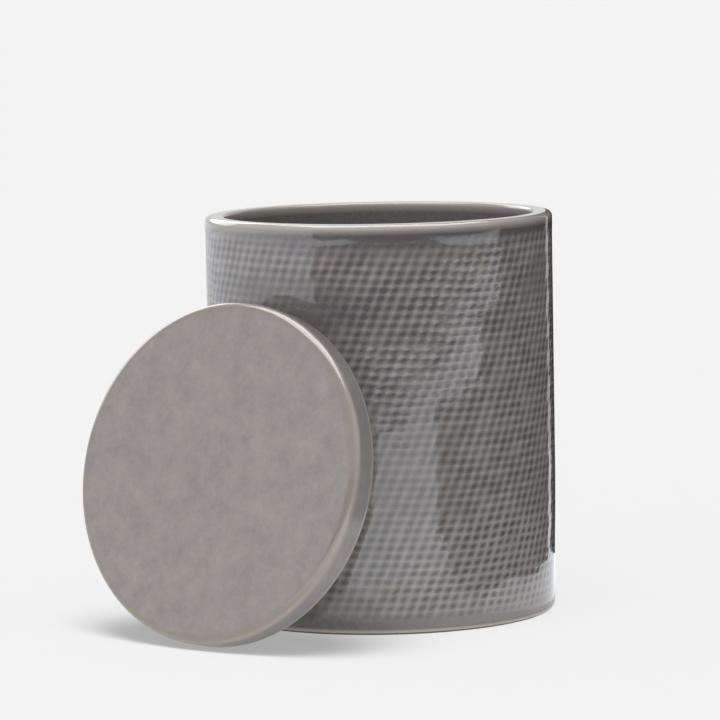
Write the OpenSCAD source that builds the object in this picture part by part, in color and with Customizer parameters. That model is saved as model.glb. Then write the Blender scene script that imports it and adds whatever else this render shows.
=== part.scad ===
// Round ceramic canister with a lift-off lid.
// The jar stands upright on its foot ring, with its axis on the Z axis and its foot at Z = 0.
// The lid stands on its lower edge beside the jar and leans back on the wall.

/* [Jar] */
// Outer diameter of the body
body_d = 100; // [70:1:125]
// Height from the foot to the rim
body_h = 115; // [95:1:240]
// Thickness of the wall
wall_t = 5.5; // [4:0.1:8]
// Thickness of the floor above the foot recess
floor_t = 6; // [4:0.1:10]
// Radius of the cove between wall and floor
cove_round = 6; // [2:0.5:12]
// Radius of the outer edge of the rim
rim_out_round = 1.6; // [0.8:0.1:2]
// Radius of the inner edge of the rim
rim_in_round = 1; // [0.4:0.1:1.6]

/* [Foot] */
// Radius of the edge where the wall turns in to the foot
heel_round = 2; // [1:0.1:4]
// Width of the unglazed ring that the jar stands on
foot_w = 7; // [4:0.5:12]
// Depth of the recess inside the foot ring
foot_recess_h = 1.5; // [0.5:0.1:3]
// Radius of the edge at the top of the foot recess
foot_recess_round = 1; // [0.2:0.1:1.4]

/* [Lid] */
// How far the lid's edge stays inside the body's outer face
lid_inset = 2.25; // [1:0.25:3]
// Height of the lid's edge
lid_edge_h = 9.5; // [7:0.5:14]
// Thickness of the lid's plate at the middle
plate_t = 6; // [4:0.1:6.9]
// Radius of the lid's upper edge
lid_top_round = 2.5; // [0.5:0.1:3]
// Radius of the lid's lower edge
lid_low_round = 1.5; // [0.5:0.1:2]

/* [Lid collar] */
// Gap all round between the collar and the jar's mouth
mouth_gap = 1; // [0.4:0.1:1.5]
// Height of the collar below the lid's seat
collar_h = 5; // [3:0.5:8]
// Thickness of the collar
collar_t = 4; // [3:0.1:8]
// Radius of the collar's outer lower edge
collar_round = 1; // [0.3:0.1:1.5]
// Radius of the hollow's edge under the plate
hollow_round = 3; // [1:0.5:3]

/* [Lean] */
// Angle between the leaning lid and the upright
lean = 14.6; // [8:0.1:30]
// Direction that the lid faces, turned about the jar's axis from -Y
lean_turn = -36.1; // [-180:0.1:180]
// Sideways place of the lid from the line through the jar's axis
lean_side = -2.8; // [-8:0.1:8]
// Gap left between the lid's collar and the jar's wall
lean_gap = 0.3; // [0.1:0.1:1]

/* [Hidden] */
$fn = 180;
// Extra length of every cut past the face that it opens
overrun = 2;

body_r = body_d / 2;
mouth_r = body_r - wall_t;
floor_top = foot_recess_h + floor_t;
foot_recess_r = body_r - heel_round - foot_w;

lid_r = body_r - lid_inset;
collar_r = mouth_r - mouth_gap;
hollow_r = collar_r - collar_t;
lid_h = lid_edge_h + collar_h;
hollow_h = lid_h - plate_t;

// Reach of the collar's edge behind the middle of the lid's face, towards the wall
lean_reach = (lid_h - collar_round) * cos(lean) + (collar_r - collar_round) * sin(lean) + collar_round;
lean_out = body_r + lean_gap + lean_reach;
// Height at which the lid's lower back edge just meets the table
lean_up = (lid_edge_h - lid_low_round) * sin(lean) + (lid_r - lid_low_round) * cos(lean) + lid_low_round;

// Waste outside a quarter round, for the lower right corner of a section at the origin
module corner_waste(round) {
    difference() {
        translate([-round, -overrun]) square([round + overrun, round + overrun]);
        translate([-round, round]) circle(r = round);
    }
}

// Half section of a round block that stands on the X axis, with its outer corners rounded
module block_section(radius, height, low_round = 0, high_round = 0) {
    difference() {
        square([radius, height]);
        if (low_round > 0)
            translate([radius, 0]) corner_waste(low_round);
        if (high_round > 0)
            translate([radius, height]) mirror([0, 1]) corner_waste(high_round);
    }
}

// Half section of the jar: the outer block, less the inside, the rim's inner edge and the foot recess
module jar_section() {
    difference() {
        block_section(body_r, body_h, heel_round, rim_out_round);
        translate([0, floor_top]) block_section(mouth_r, body_h, cove_round);
        translate([mouth_r, body_h]) mirror([0, 1]) mirror([1, 0]) corner_waste(rim_in_round);
        translate([0, -overrun])
            block_section(foot_recess_r, foot_recess_h + overrun, 0, foot_recess_round);
    }
}

// Half section of the lid, face up with the middle of its face at the origin
module lid_section() {
    difference() {
        union() {
            translate([0, -lid_edge_h]) block_section(lid_r, lid_edge_h, lid_low_round, lid_top_round);
            translate([0, -lid_h]) block_section(collar_r, lid_h - lid_top_round, collar_round);
        }
        translate([0, -lid_h - overrun]) block_section(hollow_r, hollow_h + overrun, 0, hollow_round);
    }
}

module jar() {
    color("#7f7d79") rotate_extrude() jar_section();
}

module lid() {
    color("#99948e")
    rotate([0, 0, lean_turn])
    translate([lean_side, -lean_out, lean_up])
    rotate([90 - lean, 0, 0])
    rotate_extrude() lid_section();
}

jar();
lid();
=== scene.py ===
# %% [markdown]
# # A dimpled ceramic canister and its leaning lid
# The real object is a straight-sided stoneware jar, a hundred millimetres across, with a flat
# lift-off lid that stands beside it and leans on its wall. The wall carries rows of small shallow
# pools under a grey glaze that runs thin over the ridges between them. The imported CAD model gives
# the sizes and the place of both pieces, and this script adds the relief, the glaze and the light.

import math

import bmesh
import bpy
import numpy as np
from mathutils import Matrix


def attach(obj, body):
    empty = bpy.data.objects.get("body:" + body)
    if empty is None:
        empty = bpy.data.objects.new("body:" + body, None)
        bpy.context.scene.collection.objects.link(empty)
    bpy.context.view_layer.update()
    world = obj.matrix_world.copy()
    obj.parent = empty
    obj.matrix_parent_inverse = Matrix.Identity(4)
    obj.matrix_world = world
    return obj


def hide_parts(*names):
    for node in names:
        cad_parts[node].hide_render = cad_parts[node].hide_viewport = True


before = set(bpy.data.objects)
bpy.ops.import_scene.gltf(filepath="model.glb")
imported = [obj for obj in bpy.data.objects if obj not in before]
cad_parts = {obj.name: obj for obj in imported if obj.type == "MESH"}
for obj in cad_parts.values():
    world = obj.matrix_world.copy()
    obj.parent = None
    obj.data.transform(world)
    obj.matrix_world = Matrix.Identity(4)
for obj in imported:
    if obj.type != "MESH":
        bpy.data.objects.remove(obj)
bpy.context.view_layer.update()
print("CAD nodes:", sorted(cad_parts))

# %% [markdown]
# ## Camera
# The photograph is taken with a long lens from a little above the rim, so the mouth shows as a
# narrow ellipse and the wall hardly tapers. The place and the lens were fitted to the outline of
# the jar and the lid. The camera is built from its turn, tilt and roll, which is easier to change
# by hand than a matrix.

# %% Camera
camera_back = 1.228124
camera_height = 0.199521
camera_turn = -0.00487
camera_tilt = -0.10311
camera_roll = -0.01804
lens_mm = 213.706

forward = np.array([
    math.sin(camera_turn) * math.cos(camera_tilt),
    math.cos(camera_turn) * math.cos(camera_tilt),
    math.sin(camera_tilt),
])
level_right = np.array([math.cos(camera_turn), -math.sin(camera_turn), 0.0])
level_up = np.cross(level_right, forward)
right = math.cos(camera_roll) * level_right + math.sin(camera_roll) * level_up
up = math.cos(camera_roll) * level_up - math.sin(camera_roll) * level_right

camera_data = bpy.data.cameras.new("photo_camera")
camera_data.sensor_width = 36
camera_data.lens = lens_mm
camera = bpy.data.objects.new("photo_camera", camera_data)
bpy.context.scene.collection.objects.link(camera)
rows = np.eye(4)
rows[:3, 0] = right
rows[:3, 1] = up
rows[:3, 2] = -forward
rows[:3, 3] = (0, -camera_back, camera_height)
camera.matrix_world = Matrix(rows.tolist())
bpy.context.scene.camera = camera
print("lens", lens_mm, "mm, camera", round(camera_back, 3), "m in front of the jar's axis")

# %% [markdown]
# ## Sizes
# The same named sizes as the CAD source, in metres. The jar's axis is the Z axis and its foot is
# at Z = 0. The lid's sizes are given with the lid face up and the middle of its face at the origin.

# %% Sizes
MM = 0.001
body_r = 50 * MM
body_h = 115 * MM
wall_t = 5.5 * MM
floor_top = 7.5 * MM
cove_round = 6 * MM
rim_out_round = 1.6 * MM
rim_in_round = 1 * MM
heel_round = 2 * MM
foot_recess_r = 41 * MM
foot_recess_h = 1.5 * MM
foot_recess_round = 1 * MM
mouth_r = body_r - wall_t

lid_r = 47.75 * MM
lid_edge_h = 9.5 * MM
lid_h = 14.5 * MM
plate_t = 6 * MM
lid_top_round = 2.5 * MM
lid_low_round = 1.5 * MM
collar_r = 43.5 * MM
collar_round = 1 * MM
hollow_r = 39.5 * MM
hollow_round = 3 * MM

lean = math.radians(14.6)
lean_turn = math.radians(-36.1)
lean_side = -2.8 * MM
lean_gap = 0.3 * MM
lean_reach = (
    (lid_h - collar_round) * math.cos(lean) + (collar_r - collar_round) * math.sin(lean) + collar_round
)
lean_out = body_r + lean_gap + lean_reach
lean_up = (
    (lid_edge_h - lid_low_round) * math.sin(lean) + (lid_r - lid_low_round) * math.cos(lean) + lid_low_round
)
print("lid face middle is", round(lean_up / MM, 2), "mm above the table")

# %% [markdown]
# ## The dimpled wall
# On the real jar the mould leaves rows of shallow pools, 3.1 mm apart across and 2.4 mm apart in
# height. Each row sits a little to one side of the row below, so the columns lean by about 21
# degrees, and both waver a little, as on any fired clay. The ridges of the two directions add up:
# the glaze is thinnest where they cross and deepest in the middle of a pool. Low on the right the
# pools are more like separate dots, and in places the glaze drowns them. The relief is real
# geometry: one grid that follows the lean, with a few points on every ridge and pool, pushed in
# from the body's radius. Random values come from a fixed seed.

# %% Soft values on the wall
def soft_noise(share_round, share_up, cells_round, cells_up, seed):
    """Smooth random values from 0 to 1 that meet themselves round the jar."""
    grid = np.random.default_rng(seed).random((cells_up + 2, cells_round))
    across = (share_round % 1.0) * cells_round
    along = np.clip(share_up, 0, 1) * cells_up
    column = np.floor(across).astype(int)
    row = np.floor(along).astype(int)
    part_across = across - column
    part_along = along - row
    part_across = part_across * part_across * (3 - 2 * part_across)
    part_along = part_along * part_along * (3 - 2 * part_along)
    column = column % cells_round
    after = (column + 1) % cells_round
    low = grid[row, column] * (1 - part_across) + grid[row, after] * part_across
    high = grid[row + 1, column] * (1 - part_across) + grid[row + 1, after] * part_across
    return low * (1 - part_along) + high * part_along


def smooth_step(value, start, stop):
    """Rises softly from 0 at start to 1 at stop."""
    share = np.clip((value - start) / (stop - start), 0, 1)
    return share * share * (3 - 2 * share)


def degrees_from(turn, middle):
    """How far a turn lies from the middle, the short way round, in degrees."""
    return (turn - middle + 180) % 360 - 180


def bell(way, half):
    """1 at the middle, falling softly to almost nothing at twice the half width."""
    return np.exp(-(way / half) ** 2)


# %% Grid of the wall
columns = 101
dimple_rows = 45
row_pitch = 2.41 * MM
row_start = 4.0 * MM
column_pitch = 2 * math.pi * body_r / columns
column_lean = 0.385
row_tilt = 0.016
column_waver = 0.6 * MM
row_waver = 0.5 * MM
column_parts = np.array([0, 0.17, 0.38, 0.62, 0.83])
row_parts = np.array([0, 0.2, 0.5, 0.8])
column_ridge_half = 0.78 * MM
row_ridge_half = 0.58 * MM
ridge_share = 0.52

cell_across = (np.arange(columns)[:, None] + column_parts).ravel()
cell_along = (np.arange(dimple_rows)[:, None] + row_parts).ravel()
cell_along = np.append(cell_along, dimple_rows)
wall_z = row_start + cell_along * row_pitch
wall_z = np.concatenate([[heel_round], wall_z, [body_h - rim_out_round]])
cell_along = np.concatenate([[-0.5], cell_along, [dimple_rows + 0.3]])
grid_across, grid_along = np.meshgrid(cell_across, cell_along)
grid_z = np.repeat(wall_z[:, None], len(cell_across), axis=1)
grid_angle = grid_across / columns * 2 * math.pi + column_lean * grid_z / body_r
level_ends = np.minimum(
    smooth_step(grid_z, heel_round, 9 * MM), 1 - smooth_step(grid_z, 106 * MM, 114 * MM)
)
grid_z = grid_z - row_tilt * body_r * np.sin(grid_angle) * level_ends

turn_share = grid_angle / (2 * math.pi)
height_share = grid_z / body_h
column_noise = soft_noise(turn_share, height_share, 31, 11, 31) - 0.5
row_noise = soft_noise(turn_share, height_share, 23, 13, 32) - 0.5
grid_angle = grid_angle + column_waver / body_r * column_noise * level_ends
grid_z = grid_z + row_waver * row_noise * level_ends
turned = np.degrees(grid_angle)

cell_share = grid_across / columns, (grid_along + 1) / (dimple_rows + 2)
from_column_ridge = (0.5 - np.abs(grid_across % 1 - 0.5)) * column_pitch
from_row_ridge = (0.5 - np.abs(grid_along % 1 - 0.5)) * row_pitch
column_ridge = bell(from_column_ridge, column_ridge_half)
column_ridge = column_ridge * (0.72 + 0.28 * soft_noise(*cell_share, 101, 60, 33))
row_ridge = bell(from_row_ridge, row_ridge_half)
row_ridge = row_ridge * (0.65 + 0.35 * soft_noise(*cell_share, 90, 47, 34))
in_pool = (1 - column_ridge) * (1 - row_ridge)
# where the pools are separate dots: low on the right, 50 degrees round from the front
dotted = 0.85 * smooth_step(grid_z, 42 * MM, 24 * MM) * bell(degrees_from(turned, 50), 45)
added_ridges = 1 - ridge_share * column_ridge - ridge_share * row_ridge
pool_shape = (1 - dotted) * added_ridges + dotted * in_pool
print("grid of", dimple_rows, "rows by", columns, "columns,", grid_z.size, "points")

# %% Where the glaze drowns the pools
def spot_on_wall(middle, high, half_round, half_up):
    """A soft spot: degrees round from the front, mm up, half its width and half its height in mm."""
    round_way = np.radians(degrees_from(turned, middle)) * body_r / (half_round * MM)
    up_way = (grid_z - high * MM) / (half_up * MM)
    return np.exp(-0.5 * (round_way ** 2 + up_way ** 2))


drowned_noise = (
    0.65 * soft_noise(turn_share, height_share, 17, 6, 5)
    + 0.35 * soft_noise(turn_share, height_share, 46, 17, 6)
)
drowned = 0.5 * (1 - smooth_step(drowned_noise, 0.1, 0.42))
drowned_spots = [
    ((-24, 90, 9, 7), 0.9), ((-42, 96, 8, 4), 0.7), ((-2, 111, 26, 3.5), 0.9), ((-28, 6, 14, 4), 0.8),
    ((11, 52, 8, 22), 0.3),
]
for spot, strength in drowned_spots:
    drowned = np.maximum(drowned, strength * spot_on_wall(*spot))
# where the glaze lies thickest under the rim, so that it is darkest; the spot beside the lid is a
# painted shadow of the lid on the wall
thick_glaze_and_lid_shade_spots = [((2, 110.3, 20, 1.7), 0.22), ((-12, 92, 12, 6), 0.15)]
thick_glaze_and_lid_shade = np.zeros_like(grid_z)
for spot, strength in thick_glaze_and_lid_shade_spots:
    thick_glaze_and_lid_shade = thick_glaze_and_lid_shade + strength * spot_on_wall(*spot)
# the wall between the smooth bands at the heel and under the rim
band = smooth_step(grid_along, -0.3, 1.3)
band = band * (1 - smooth_step(grid_along, dimple_rows - 1.6, dimple_rows + 0.1))

own_strength = 0.62 + 0.4 * soft_noise(*cell_share, 101, 47, 11)
pool = pool_shape * own_strength * band * (1 - drowned)
print("share of the wall that the glaze drowns:", round(float(drowned.mean()), 3))

# %% Depth of the wall at every point
dimple_depth = 0.052 * MM
wave_depth = 0.12 * MM
band_depth = 0.045 * MM
heel_ease = 0.55 * MM
pool_lean_most = 0.02 * MM

slow_wave = soft_noise(turn_share, height_share, 27, 10, 7)
quick_wave = soft_noise(turn_share, height_share, 61, 22, 8)
# under the rim the glaze ends in a low roll that wanders, which draws a thin streak of light
roll_z = grid_z + 1.3 * MM * (soft_noise(turn_share, height_share, 43, 2, 9) - 0.5)
wave_band = smooth_step(grid_z, heel_round, 8 * MM) * (1 - smooth_step(roll_z, 108.8 * MM, 111.8 * MM))
wave = (0.55 * slow_wave + 0.45 * quick_wave) * wave_band

# every pool leans its own way a little
pool_random = np.random.default_rng(11)
lean_across = pool_random.normal(0, 0.016, (dimple_rows + 2, columns))
lean_along = pool_random.normal(0, 0.01, (dimple_rows + 2, columns))
pool_row = np.clip(np.floor(grid_along).astype(int), -1, dimple_rows) + 1
pool_column = np.floor(grid_across).astype(int) % columns
pool_lean = (
    lean_across[pool_row, pool_column] * (grid_across % 1 - 0.5) * column_pitch
    + lean_along[pool_row, pool_column] * (grid_along % 1 - 0.5) * row_pitch
)
pool_lean = np.maximum(pool_lean * in_pool * band * (1 - drowned), -pool_lean_most)

# the relief is deeper in the upper half, and nearly flat in a narrow zone at the right edge
deeper = 1 + 0.5 * smooth_step(grid_z, 50 * MM, 85 * MM)
calm = 1 - 0.85 * bell(degrees_from(turned, 88), 12)
relief = calm * (deeper * (dimple_depth * pool + pool_lean) + wave_depth * wave)
wall_r = body_r - relief - band_depth * wave_band
wall_r = wall_r - heel_ease * (1 - smooth_step(grid_z, heel_round, 42 * MM))
print("wall grid", grid_z.shape, "deepest", round(float(body_r - wall_r.min()) / MM, 3), "mm")

# %% [markdown]
# ## Rim, inside and foot
# The rest of the jar is turned: a rounded rim, a straight inside with a cove to the floor, and a
# foot ring round a shallow recess. Each profile is a list of points from arcs of the named radii.
# Short flats beside every arc keep the flat faces flat when the mesh is shaded smooth.

# %% Profiles of the turned parts
def arc(middle_r, middle_z, radius, start, stop, steps=8):
    """Points of a quarter round in the profile, angles in degrees from the outward side."""
    angles = np.radians(np.linspace(start, stop, steps + 1))
    return [(middle_r + radius * math.cos(a), middle_z + radius * math.sin(a)) for a in angles]


beside = 0.15 * MM
rim_profile = arc(body_r - rim_out_round, body_h - rim_out_round, rim_out_round, 6, 90, 10)
rim_profile += [(body_r - rim_out_round - beside, body_h), (mouth_r + rim_in_round + beside, body_h)]
rim_profile += arc(mouth_r + rim_in_round, body_h - rim_in_round, rim_in_round, 90, 180, 8)

inside_top = body_h - rim_in_round - beside
inside_low = floor_top + cove_round + beside
inside_profile = [(mouth_r, z) for z in np.linspace(inside_top, inside_low, 12)]
inside_profile += arc(mouth_r - cove_round, floor_top + cove_round, cove_round, 0, -90, 10)
inside_profile += [(mouth_r - cove_round - beside, floor_top)]
inside_profile += [(r * MM, floor_top) for r in (20, 5)]

heel_middle = body_r - heel_ease - heel_round
recess_in = foot_recess_r - foot_recess_round
recess_up = foot_recess_h - foot_recess_round
foot_profile = arc(heel_middle, heel_round, heel_round, -6, -90, 8)
foot_profile += [(heel_middle - beside, 0), (foot_recess_r + 2 * beside, 0)]
foot_profile += arc(foot_recess_r + beside, beside, beside, -90, -180, 3)
foot_profile += [(foot_recess_r, recess_up - beside)]
foot_profile += arc(recess_in, recess_up, foot_recess_round, 0, 90, 5)
foot_profile += [(recess_in - beside, foot_recess_h)]
foot_profile += [(r * MM, foot_recess_h) for r in (20, 5)]
print("points:", len(rim_profile), "rim,", len(inside_profile), "inside,", len(foot_profile), "foot")


# %% Helpers that join rings of points
# the CAD's rounds are made of flats, so the rings stay this share of their radius
inside_flats = 0.9999


def ring_points(radius, height, angle):
    """Points of one ring; angle 0 faces the camera's side, and angles grow towards +X."""
    radius = np.broadcast_to(radius, angle.shape) * inside_flats
    height = np.broadcast_to(height, angle.shape)
    return np.stack([radius * np.sin(angle), -radius * np.cos(angle), height], axis=1)


def join_rings(first, second, count):
    """Four-sided faces between two rings of the same count, given by their first point."""
    here = np.arange(count)
    after = (here + 1) % count
    return np.stack([first + here, first + after, second + after, second + here], axis=1).tolist()


def join_to_fine(coarse, fine, count, parts):
    """Faces between a coarse ring and a ring with some parts to every step of the coarse one."""
    faces = []
    middle = parts // 2
    for step in range(count):
        after = (step + 1) % count
        points = [fine + (step * parts + k) % (count * parts) for k in range(parts + 1)]
        for k in range(parts):
            corner = coarse + (step if k <= middle else after)
            faces.append([points[k], points[k + 1], corner])
        # the triangle that carries the fan over from one coarse point to the next
        faces.append([points[middle + 1], coarse + after, coarse + step])
    return faces


def close_ring(ring, tip, count):
    """Triangles from a ring to the point in its middle."""
    here = np.arange(count)
    return np.stack([ring + here, ring + (here + 1) % count, np.full(count, tip)], axis=1).tolist()


def make_piece(name, points, faces, values):
    """One smooth closed mesh with a named value at every point."""
    mesh = bpy.data.meshes.new(name)
    mesh.from_pydata(points, [], faces)
    for label, numbers in values.items():
        layer = mesh.attributes.new(label, "FLOAT", "POINT")
        layer.data.foreach_set("value", np.asarray(numbers, dtype=np.float32))
    tidy = bmesh.new()
    tidy.from_mesh(mesh)
    bmesh.ops.recalc_face_normals(tidy, faces=tidy.faces)
    open_edges = sum(1 for edge in tidy.edges if not edge.is_manifold)
    tidy.to_mesh(mesh)
    tidy.free()
    mesh.shade_smooth()
    piece = bpy.data.objects.new(name, mesh)
    bpy.context.scene.collection.objects.link(piece)
    print(name, "has", len(mesh.polygons), "faces and", open_edges, "open edges")
    return piece


# %% The jar as one mesh
# the value "pool" says how deep the glaze lies: 0 on a ridge, towards 1 in a pool
turned_parts_pool = 0.7
smooth_low = 0.75 - 0.42 * bell(degrees_from(turned, 60), 50)
smooth_top = 0.88 - 0.42 * bell(degrees_from(turned, -65), 35)
smooth_glaze = smooth_low + (smooth_top - smooth_low) * smooth_step(grid_z, 40 * MM, 80 * MM)
shown_pool = pool * (1.02 + 0.04 * smooth_step(grid_z, 45 * MM, 85 * MM))
# this adds the thick glaze under the rim and the painted shadow of the lid beside it
shown_pool = shown_pool + (0.62 * drowned + thick_glaze_and_lid_shade) * band + 0.2 * dotted * pool
pool_values = list(shown_pool + smooth_glaze * (1 - band))

fine = columns * len(column_parts)
jar_points = [ring_points(wall_r[k], grid_z[k], grid_angle[k]) for k in range(len(wall_z))]
jar_faces = []
for k in range(len(wall_z) - 1):
    jar_faces += join_rings(k * fine, (k + 1) * fine, fine)
wall_points = len(wall_z) * fine


def add_turned(profile, start_angles, next_point):
    """Adds the rings of a turned profile and their faces; returns the first and the last ring."""
    for k, (radius, height) in enumerate(profile):
        jar_points.append(ring_points(radius, height, start_angles))
        pool_values.append(np.full(len(start_angles), turned_parts_pool))
        if k > 0:
            here = next_point + k * columns
            jar_faces.extend(join_rings(here - columns, here, columns))
    return next_point, next_point + (len(profile) - 1) * columns


top_angles = grid_angle[-1][:: len(column_parts)]
low_angles = grid_angle[0][:: len(column_parts)]
upper_first, upper_last = add_turned(rim_profile + inside_profile, top_angles, wall_points)
lower_first, lower_last = add_turned(foot_profile, low_angles, upper_last + columns)
jar_faces += join_to_fine(upper_first, (len(wall_z) - 1) * fine, columns, len(column_parts))
jar_faces += join_to_fine(lower_first, 0, columns, len(column_parts))
tips = lower_last + columns
jar_points.append(np.array([[0, 0, floor_top], [0, 0, foot_recess_h]]))
pool_values.append(np.full(2, turned_parts_pool))
jar_faces += close_ring(upper_last, tips, columns)
jar_faces += close_ring(lower_last, tips + 1, columns)
jar_points = np.concatenate(jar_points)
pool_values = np.concatenate(pool_values)
jar = make_piece("glazed_jar", jar_points, jar_faces, {"pool": pool_values})

# %% [markdown]
# ## The lid
# The lid is turned as well: a flat plate with a soft edge, and under it the collar that keeps it in
# the mouth. Its face isn't quite even, as on any fired plate, so its rings dip by a few hundredths
# of a millimetre and the light on it wavers a little. It is made face up and then leant.

# %% The lid as one mesh
lid_steps = 240
lid_dip = 0.05 * MM
face_rings = (0.8, 2.5, 5, 8, 11, 14, 17, 20, 23, 26, 29, 32, 35, 38, 41, 43.5)
lid_profile = [(r * MM, 0) for r in face_rings]
lid_profile += [(lid_r - lid_top_round - beside, 0)]
lid_profile += arc(lid_r - lid_top_round, -lid_top_round, lid_top_round, 90, 0, 12)
lid_profile += [(lid_r, z * MM) for z in (-2.7, -4, -5.5, -6.7, -7.8)]
lid_profile += arc(lid_r - lid_low_round, lid_low_round - lid_edge_h, lid_low_round, 0, -90, 8)
lid_profile += [(lid_r - lid_low_round - beside, -lid_edge_h), (collar_r + 2 * beside, -lid_edge_h)]
lid_profile += arc(collar_r + beside, -lid_edge_h - beside, beside, 90, 180, 3)
lid_profile += [(collar_r, -lid_h + collar_round + beside)]
lid_profile += arc(collar_r - collar_round, -lid_h + collar_round, collar_round, 0, -90, 6)
lid_profile += [(collar_r - collar_round - beside, -lid_h), (hollow_r + 2 * beside, -lid_h)]
lid_profile += arc(hollow_r + beside, beside - lid_h, beside, -90, -180, 3)
lid_profile += [(hollow_r, -plate_t - hollow_round - beside)]
lid_profile += arc(hollow_r - hollow_round, -plate_t - hollow_round, hollow_round, 0, 90, 8)
lid_profile += [(hollow_r - hollow_round - beside, -plate_t)]
lid_profile += [(r * MM, -plate_t) for r in (18, 4)]

lid_angles = np.arange(lid_steps) / lid_steps * 2 * math.pi
lid_points = []
for radius, height in lid_profile:
    across = (0.5 + radius * np.sin(lid_angles) / (2 * lid_r)) * 0.9
    along = 0.5 + radius * np.cos(lid_angles) / (2 * lid_r)
    dips = 0.65 * soft_noise(across, along, 9, 9, 21) + 0.35 * soft_noise(across, along, 19, 19, 22)
    fall = lid_dip * dips * (1 - smooth_step(radius, 43 * MM, lid_r)) if height == 0 else 0
    lid_points.append(ring_points(radius, height - fall, lid_angles))
lid_faces = []
for k in range(len(lid_profile) - 1):
    lid_faces += join_rings(k * lid_steps, (k + 1) * lid_steps, lid_steps)
lid_tips = len(lid_profile) * lid_steps
lid_points.append(np.array([[0, 0, -lid_dip / 2], [0, 0, -plate_t]]))
lid_faces += close_ring(0, lid_tips, lid_steps)
lid_faces += close_ring(lid_tips - lid_steps, lid_tips + 1, lid_steps)
lid_points = np.concatenate(lid_points)

# the value "edge_way" is the way in mm along the surface, from where the edge starts to turn down
edge_way = np.append(0, np.cumsum(np.hypot(*np.diff(np.array(lid_profile), axis=0).T)))
edge_way = edge_way + lid_profile[0][0] - (lid_r - lid_top_round)
lid_edge_way = np.append(np.repeat(edge_way, lid_steps), [-lid_r, edge_way[-1]])

# tipped back until it leans, moved to the wall, then turned round the jar's axis
tip_back = math.pi / 2 - lean
tilted = lid_points.copy()
tilted[:, 1] = lid_points[:, 1] * math.cos(tip_back) - lid_points[:, 2] * math.sin(tip_back)
tilted[:, 2] = lid_points[:, 1] * math.sin(tip_back) + lid_points[:, 2] * math.cos(tip_back)
tilted += (lean_side, -lean_out, lean_up)
placed = tilted.copy()
placed[:, 0] = tilted[:, 0] * math.cos(lean_turn) - tilted[:, 1] * math.sin(lean_turn)
placed[:, 1] = tilted[:, 0] * math.sin(lean_turn) + tilted[:, 1] * math.cos(lean_turn)
lid = make_piece("glazed_lid", placed, lid_faces, {"edge_way": lid_edge_way / MM})

# %% [markdown]
# ## Glaze
# Both pieces have the same glossy grey reactive glaze over a dark clay, which shows only on the jar's
# foot ring; the dark band there also stands for a painted contact shadow under the heel. Where the
# glaze runs thin, on the ridges, it breaks to a paler, warmer grey, and on the rim and the lid's edge
# nearly to tan, painted a little paler on the rim and the heel as a painted sheen; the lid's edge also
# carries two painted highlight lines. Where it pools it goes darker and a little lilac, and one dark
# patch beside the lid is a painted shadow of the lid. The pattern of pools and the way along the lid's
# edge come from the mesh, and the small things, such as clouds and grain, come from noise at their
# real size.

# %% Colours and nodes
GLAZE_IOR = 1.6
MIX_SHARE, MIX_FIRST, MIX_SECOND, MIX_RESULT = 0, 6, 7, 2


def linear(code):
    """The linear colour of an sRGB hex code."""
    parts = [int(code[k:k + 2], 16) / 255 for k in (1, 3, 5)]
    light = [p / 12.92 if p <= 0.04045 else ((p + 0.055) / 1.055) ** 2.4 for p in parts]
    return (*light, 1)


def add_node(material, kind, inputs=None, **settings):
    """Adds one node: settings are its properties, inputs are values or the outputs that feed it."""
    tree = material.node_tree
    new = tree.nodes.new(kind)
    for name, value in settings.items():
        setattr(new, name, value)
    for socket, value in (inputs or {}).items():
        if isinstance(value, bpy.types.NodeSocket):
            tree.links.new(value, new.inputs[socket])
        else:
            new.inputs[socket].default_value = value
    return new


def empty_material(name):
    """A material with no nodes yet but its output."""
    material = bpy.data.materials.new(name)
    material.use_nodes = True
    material.node_tree.nodes.clear()
    return material, add_node(material, "ShaderNodeOutputMaterial")


def noise(material, place, size_mm, detail, roughness=0.5):
    """Noise with spots of this many millimetres."""
    inputs = {"Vector": place, "Scale": 1 / (size_mm * MM), "Detail": detail, "Roughness": roughness}
    return add_node(material, "ShaderNodeTexNoise", inputs).outputs["Fac"]


def map_range(material, value, start, stop, low=0.0, high=1.0):
    """Carries a value over from start-stop to low-high, and holds it at both ends."""
    inputs = {"Value": value, "From Min": start, "From Max": stop, "To Min": low, "To Max": high}
    return add_node(material, "ShaderNodeMapRange", inputs).outputs[0]


def mix_colours(material, share, first, second):
    """The first colour at a share of 0, and the second at 1."""
    inputs = {MIX_SHARE: share, MIX_FIRST: first, MIX_SECOND: second}
    return add_node(material, "ShaderNodeMix", inputs, data_type="RGBA").outputs[MIX_RESULT]


def glaze_surface(material, output, colour, roughness, grain, bump_strength, bump_depth):
    """The glossy coat: its colour, its roughness and a grain too fine for the mesh."""
    bump = add_node(
        material, "ShaderNodeBump", {"Height": grain, "Strength": bump_strength, "Distance": bump_depth}
    )
    inputs = {"Base Color": colour, "Roughness": roughness, "IOR": GLAZE_IOR, "Normal": bump.outputs[0]}
    shader = add_node(material, "ShaderNodeBsdfPrincipled", inputs)
    material.node_tree.links.new(shader.outputs[0], output.inputs["Surface"])


print("glaze bends light by", GLAZE_IOR)

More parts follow.
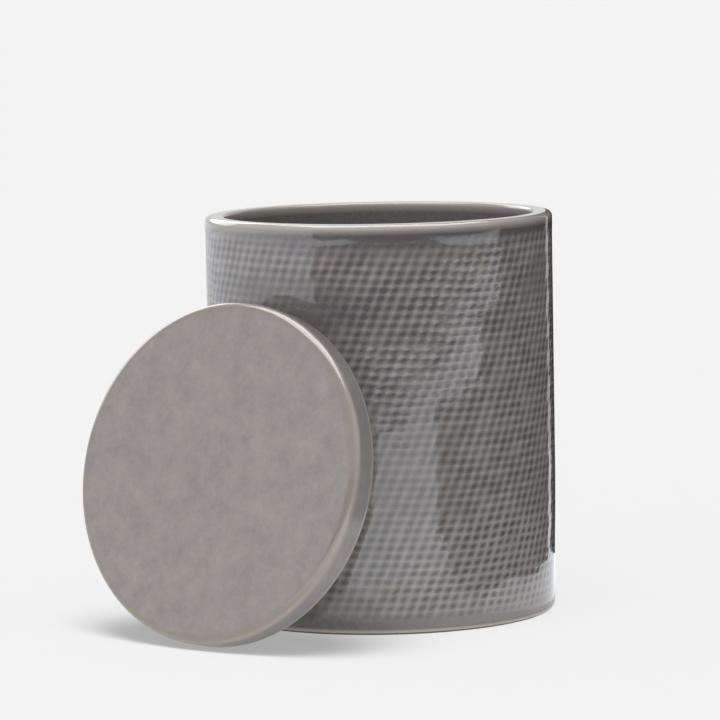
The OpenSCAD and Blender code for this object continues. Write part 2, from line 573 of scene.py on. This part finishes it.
# %% Glaze of the jar
# gives the eye: pale warm ridges round darker lilac pools, a paler rim and foot with a painted
# sheen, painted shadow at the foot and beside the lid, wet gloss
jar_glaze, jar_output = empty_material("dimpled_grey_glaze")
place = add_node(jar_glaze, "ShaderNodeTexCoord").outputs["Object"]
height = add_node(jar_glaze, "ShaderNodeSeparateXYZ", {"Vector": place}).outputs["Z"]
pool_depth = add_node(jar_glaze, "ShaderNodeAttribute", attribute_name="pool").outputs["Fac"]
clouds = noise(jar_glaze, place, 16, 3.0, 0.6)
grain = noise(jar_glaze, place, 1.1, 3.0, 0.65)
ridge_colour = mix_colours(jar_glaze, clouds, linear("#97928f"), linear("#9e9792"))
pool_colour = mix_colours(jar_glaze, clouds, linear("#534f53"), linear("#5d595b"))
grain_share = map_range(jar_glaze, grain, 0.3, 0.7, 0.88, 1.06)
pool_amount = add_node(
    jar_glaze, "ShaderNodeMath", {0: pool_depth, 1: grain_share}, operation="MULTIPLY"
).outputs[0]
pool_share = map_range(jar_glaze, pool_amount, 0.1, 0.82)
glaze_colour = mix_colours(jar_glaze, pool_share, ridge_colour, pool_colour)

rim_thin = map_range(jar_glaze, height, 112.0 * MM, 114.1 * MM, high=0.9)
heel_thin = map_range(jar_glaze, height, 1.9 * MM, 1.0 * MM, high=0.95)
thin_glaze_and_sheen = add_node(
    jar_glaze, "ShaderNodeMath", {0: rim_thin, 1: heel_thin}, operation="ADD", use_clamp=True
).outputs[0]
# the tan of the thin glaze is painted a little paler, as a painted sheen for the light that the rim and the
# heel mirror
thin_glaze_and_sheen_colour = mix_colours(jar_glaze, thin_glaze_and_sheen, glaze_colour, linear("#afa8a2"))
# dark matt clay on the foot's lowest 0.8 mm and the ring under it; the dark line it draws is also a painted
# contact shadow under the heel
foot_clay_and_contact_shade = map_range(jar_glaze, height, 0.8 * MM, 0.5 * MM)
jar_colour = mix_colours(jar_glaze, foot_clay_and_contact_shade, thin_glaze_and_sheen_colour, linear("#4a4138"))

clay_roughness = 0.6
glaze_rough = map_range(jar_glaze, grain, 0.3, 0.7, 0.05, 0.09)
jar_rough = add_node(
    jar_glaze, "ShaderNodeMath", {0: foot_clay_and_contact_shade, 1: clay_roughness, 2: glaze_rough},
    operation="MULTIPLY_ADD",
).outputs[0]
glaze_surface(jar_glaze, jar_output, jar_colour, jar_rough, grain, 0.35, 0.02 * MM)
jar.data.materials.append(jar_glaze)
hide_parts("jar")
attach(jar, "jar")
print("jar glaze has", len(jar_glaze.node_tree.nodes), "nodes")

# %% Glaze of the lid
# gives the eye: a calm pale grey plate with faint clouds, tan at its edge with painted highlight
# lines on it, and a soft sheen
lid_glaze, lid_output = empty_material("plain_grey_glaze")
place = add_node(lid_glaze, "ShaderNodeTexCoord").outputs["Object"]
edge_mm = add_node(lid_glaze, "ShaderNodeAttribute", attribute_name="edge_way").outputs["Fac"]
clouds = noise(lid_glaze, place, 6, 6.0, 0.75)
grain = noise(lid_glaze, place, 0.8, 2.0)
cloud_share = map_range(lid_glaze, clouds, 0.3, 0.7)
face_colour = mix_colours(lid_glaze, cloud_share, linear("#7f7a7b"), linear("#98918b"))

# the glaze along the edge: mm of way, colour, and how much of that colour covers the face's own.
# The pale band from 2.8 to 3.7 mm is a painted highlight on the rounding, and the pale line from
# 9.4 to 10.4 mm a painted highlight along the lower edge; the other stops are the glaze's own tan
# and grey.
edge_glaze_and_highlight_stops = [
    (-0.5, "#857c74", 0.0), (0.3, "#857c74", 0.45), (0.9, "#877d73", 0.7), (1.8, "#91887d", 0.75),
    (2.8, "#aaa096", 0.75), (3.7, "#a39a91", 0.7), (4.5, "#8b8685", 0.6), (8.9, "#858082", 0.6),
    (9.4, "#a9a299", 0.6), (10.4, "#a9a299", 0.6), (11.2, "#8b8685", 0.6),
]
ramp_start, ramp_stop = -2.0, 13.0
edge_share = map_range(lid_glaze, edge_mm, ramp_start, ramp_stop)
edge_glaze_and_highlight_ramp = add_node(lid_glaze, "ShaderNodeValToRGB", {"Fac": edge_share})
ramp_points = edge_glaze_and_highlight_ramp.color_ramp.elements
ramp_places = [(stop[0] - ramp_start) / (ramp_stop - ramp_start) for stop in edge_glaze_and_highlight_stops]
for ramp_place in ramp_places[1:-1]:
    ramp_points.new(ramp_place)
for point, ramp_place, (_, code, share) in zip(ramp_points, ramp_places, edge_glaze_and_highlight_stops):
    point.position = ramp_place
    point.color = (*linear(code)[:3], share)
lid_colour = mix_colours(lid_glaze, edge_glaze_and_highlight_ramp.outputs["Alpha"], face_colour, edge_glaze_and_highlight_ramp.outputs["Color"])
lid_rough = map_range(lid_glaze, clouds, 0.3, 0.7, 0.13, 0.18)
glaze_surface(lid_glaze, lid_output, lid_colour, lid_rough, grain, 0.3, 0.015 * MM)
lid.data.materials.append(lid_glaze)
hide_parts("lid")
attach(lid, "lid")
print("lid glaze has", len(lid_glaze.node_tree.nodes), "nodes")

# %% [markdown]
# ## Studio
# The jar stands on white paper in even white light, so it has hardly a shadow of its own. Two
# lamps that light the paper alone, and that only the lid blocks, draw the lid's soft shadow to both
# sides. What the glaze mirrors is the table and the cards round it: bright sheets, faintly cold, in
# front and at the sides, a dark screen in front that folds round to the right, and a dark card
# close on the right, with a low screen before it and a black card behind it. Two soft boxes,
# overhead and behind, draw the lines along the rim and the lid's edge. The cards are seen only in
# reflections, so they take no light from the table. The dark flag is the other way round: it isn't
# seen, and it only shades the jar's right side.

# %% Floor and even light
paper_white = 0.1
lamp_light = 0.43
floor_half = 40.0

paper, paper_output = empty_material("white_paper")
paper_glow = add_node(paper, "ShaderNodeEmission", {"Color": (1, 1, 1, 1), "Strength": 0.375})
paper_matt = add_node(paper, "ShaderNodeBsdfDiffuse", {"Color": (paper_white, paper_white, paper_white, 1)})
paper_shader = add_node(paper, "ShaderNodeAddShader", {0: paper_glow.outputs[0], 1: paper_matt.outputs[0]})
paper.node_tree.links.new(paper_shader.outputs[0], paper_output.inputs["Surface"])
floor_corners = [(x * floor_half, y * floor_half, 0) for x, y in ((-1, -1), (1, -1), (1, 1), (-1, 1))]
floor_mesh = bpy.data.meshes.new("floor")
floor_mesh.from_pydata(floor_corners, [], [(0, 1, 2, 3)])
floor = bpy.data.objects.new("floor", floor_mesh)
bpy.context.scene.collection.objects.link(floor)
floor.data.materials.append(paper)

world = bpy.data.worlds.new("even_light")
world.use_nodes = True
backdrop_light = world.node_tree.nodes["Background"]
backdrop_light.inputs["Color"].default_value = (1, 1, 1, 1)
backdrop_light.inputs["Strength"].default_value = 0.8
bpy.context.scene.world = world
bpy.context.scene.view_settings.view_transform = "Standard"

key_data = bpy.data.lights.new("key_light", "SUN")
key_data.energy = 0.79
key_data.angle = math.radians(60)
key_data.use_shadow = False
key = bpy.data.objects.new("key_light", key_data)
key.rotation_euler = (math.radians(55), 0, math.radians(-35))
key.visible_glossy = False
bpy.context.scene.collection.objects.link(key)

# the two lamps that draw the lid's shadow light the paper alone
only_paper = bpy.data.collections.new("only_paper")
only_paper.objects.link(floor)
only_lid = bpy.data.collections.new("only_lid")
only_lid.objects.link(lid)
for name, back_tilt, turn, share in (("left_overhead", 12, -35, 0.5), ("right_overhead", 20, 5, 0.5)):
    overhead_data = bpy.data.lights.new(name, "SUN")
    overhead_data.energy = share * lamp_light * math.pi / paper_white / math.cos(math.radians(back_tilt))
    overhead_data.angle = math.radians(30)
    overhead = bpy.data.objects.new(name, overhead_data)
    overhead.rotation_euler = (math.radians(back_tilt), 0, math.radians(turn))
    overhead.light_linking.receiver_collection = only_paper
    overhead.light_linking.blocker_collection = only_lid
    bpy.context.scene.collection.objects.link(overhead)
print("lamps:", len(bpy.data.lights))


# %% Cards and soft box
def studio_card(name, corners, strength, colour="#ffffff"):
    """A flat card that is seen only in reflections."""
    material, output = empty_material(name + "_surface")
    glow = add_node(material, "ShaderNodeEmission", {"Color": linear(colour), "Strength": strength})
    material.node_tree.links.new(glow.outputs[0], output.inputs["Surface"])
    mesh = bpy.data.meshes.new(name)
    mesh.from_pydata(corners, [], [range(len(corners))])
    card = bpy.data.objects.new(name, mesh)
    bpy.context.scene.collection.objects.link(card)
    card.data.materials.append(material)
    card.visible_camera = False
    card.visible_diffuse = False
    card.visible_transmission = False
    card.visible_volume_scatter = False
    card.visible_shadow = False
    return card


def level_card(name, left, right, near, far, height, strength, colour="#ffffff"):
    """A card that lies level, given by its four sides and its height."""
    corners = [(left, near, height), (right, near, height), (right, far, height), (left, far, height)]
    return studio_card(name, corners, strength, colour)


def upright_card(name, start, stop, low, high, strength):
    """A card that stands upright between two places, from a low to a high side."""
    corners = [(*start, low), (*stop, low), (*stop, high), (*start, high)]
    return studio_card(name, corners, strength)


sheet_height = 0.001
level_card("bright_sheet", -0.56, 1.5, -2.5, -0.115, sheet_height, 1.75, "#eff7ff")
level_card("left_sheet", -3, -0.56, -2.5, 0.85, sheet_height, 1.45, "#f3f9ff")
level_card("left_back_sheet", -3, -0.56, 0.85, 3, sheet_height, 1.15, "#f3f9ff")
level_card("right_sheet", 0.054, 0.6, -0.055, 0.3, sheet_height, 1.5, "#f5faff")

# dark screens on the table: the places where they start, fold and end, their height and strength
front_places = [(-0.56, -0.61), (0.744, -0.61), (1.08, -0.4), (1.5, -0.05)]
low_places = [(0.0925, -0.134), (0.0957, -0.125), (0.0748, -0.0803), (0.0862, -0.0495), (0.105, -0.032)]
for name, places, top, strength in (("front", front_places, 0.25, 0.05), ("low", low_places, 0.012, 0.03)):
    for part, (start, stop) in enumerate(zip(places, places[1:])):
        upright_card(f"{name}_screen_{part}_card", start, stop, 0.0, top, strength)

# the card close on the right, whose outline draws the steps of the dark part of the wall
side_steps = [
    (-0.171, 0.0), (-0.171, 0.0455), (-0.094, 0.0575), (-0.0706, 0.061), (-0.0706, 0.080),
    (-0.0395, 0.0865), (-0.0395, 0.175), (0.0735, 0.175), (0.0735, 0.05), (0.0695, 0.046), (0.0695, 0.0),
]
studio_card("side_card", [(0.105, y, z) for y, z in side_steps], 0.03)
upright_card("black_card", (0.0966, 0.0775), (0.0518, 0.0925), 0.0015, 0.4, 0.0)
level_card("soft_box", -0.6, 0.75, -0.4, 0.65, 1.2, 6.5)
upright_card("back_box", (-1.7, 1.0), (-0.1, 1.0), 0.35, 1.1, 3.5)
flag = upright_card("dark_flag_card", (0.4, -0.3), (0.4, 1.0), 0.0, 0.2, 0.0)
flag.visible_diffuse = True
flag.visible_glossy = False
card_count = sum(1 for material in bpy.data.materials if material.name.endswith("_surface"))
print("sheets, screens, cards and boxes:", card_count)
